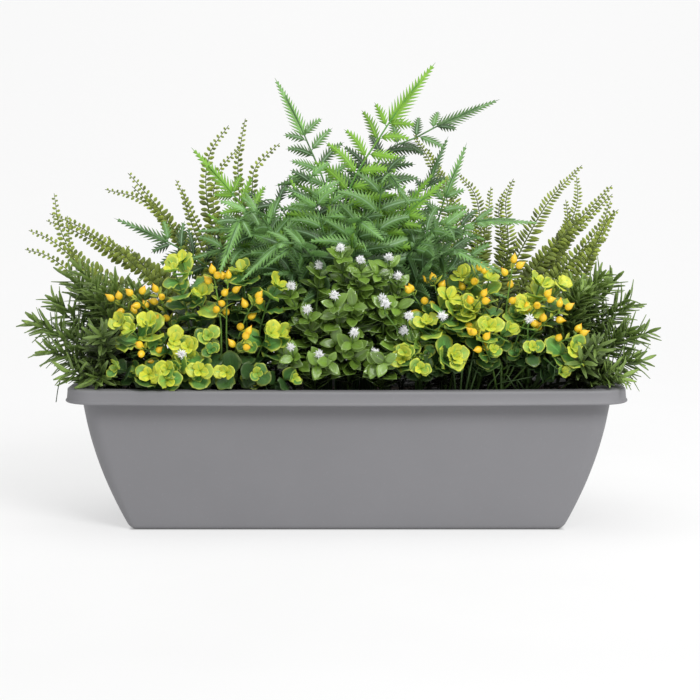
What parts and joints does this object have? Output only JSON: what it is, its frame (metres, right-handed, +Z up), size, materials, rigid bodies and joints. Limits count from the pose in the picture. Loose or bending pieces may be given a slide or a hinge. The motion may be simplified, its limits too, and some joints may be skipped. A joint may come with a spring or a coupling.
{
  "type": "mixed flower planter",
  "caption": "Long grey trough filled with mixed fern fronds, narrow, round and box leaves, white flower heads and orange fruit sprays.",
  "frame": {"origin": "middle of the trough's flat base, on the surface that it stands on", "axes": "+X along the trough's length, to the right as seen from the front; +Y to the back; +Z up"},
  "size_m": [0.7225, 0.2268, 0.4991],
  "materials": {
    "trough_grey": "matte grey moulded plastic",
    "fill_brown": "dark brown foam block with a loose soil top",
    "moss_olive": "dry olive moss fibre",
    "fern_dark": "dark green pressed leaf fabric",
    "fern_lime": "lime green pressed leaf fabric",
    "sword_olive": "olive green pressed leaf fabric",
    "narrow_dark": "dark olive soft plastic leaves",
    "round_lime": "yellow-green leaf fabric",
    "fruit_amber": "satin yellow-orange fruits on green twigs",
    "box_green": "satin green leaves with white flower heads"
  },
  "bodies": {
    "root": {"trough": "trough_grey", "foam_fill": "fill_brown", "moss_left": "moss_olive", "moss_right": "moss_olive", "fern_frond_01": "fern_lime", "fern_frond_02": "fern_dark", "fern_frond_03": "fern_dark", "fern_frond_04": "fern_lime", "fern_frond_05": "fern_dark", "fern_frond_06": "fern_dark", "fern_frond_07": "fern_dark", "fern_frond_08": "fern_dark", "fern_frond_09": "fern_dark", "fern_frond_10": "fern_lime", "fern_frond_11": "fern_dark", "fern_frond_12": "fern_dark", "fern_frond_13": "fern_dark", "sword_frond_01": "sword_olive", "sword_frond_02": "sword_olive", "sword_frond_03": "sword_olive", "sword_frond_04": "sword_olive", "sword_frond_05": "sword_olive", "sword_frond_06": "sword_olive", "sword_frond_07": "sword_olive", "sword_frond_08": "sword_olive", "sword_frond_09": "sword_olive", "sword_frond_10": "sword_olive", "sword_frond_11": "sword_olive", "sword_frond_12": "sword_olive", "sword_frond_13": "sword_olive", "sword_frond_14": "sword_olive", "sword_frond_15": "sword_olive", "sword_frond_16": "sword_olive", "sword_frond_17": "sword_olive", "sword_frond_18": "sword_olive", "sword_frond_19": "sword_olive", "sword_frond_20": "sword_olive", "narrow_leaf_left_front": "narrow_dark", "narrow_leaf_left_back": "narrow_dark", "narrow_leaf_left_inner": "narrow_dark", "narrow_leaf_right_front": "narrow_dark", "narrow_leaf_right_back": "narrow_dark", "narrow_leaf_right_inner": "narrow_dark", "round_leaf_left_outer": "round_lime", "round_leaf_left_middle": "round_lime", "round_leaf_left_inner": "round_lime", "round_leaf_right_inner": "round_lime", "round_leaf_right_middle": "round_lime", "round_leaf_right_outer": "round_lime", "fruit_spray_left_outer": "fruit_amber", "fruit_spray_left_inner": "fruit_amber", "fruit_spray_right_inner": "fruit_amber", "fruit_spray_right_outer": "fruit_amber", "box_pick_left": "box_green", "box_pick_middle": "box_green", "box_pick_right": "box_green"}
  },
  "joints": []
}
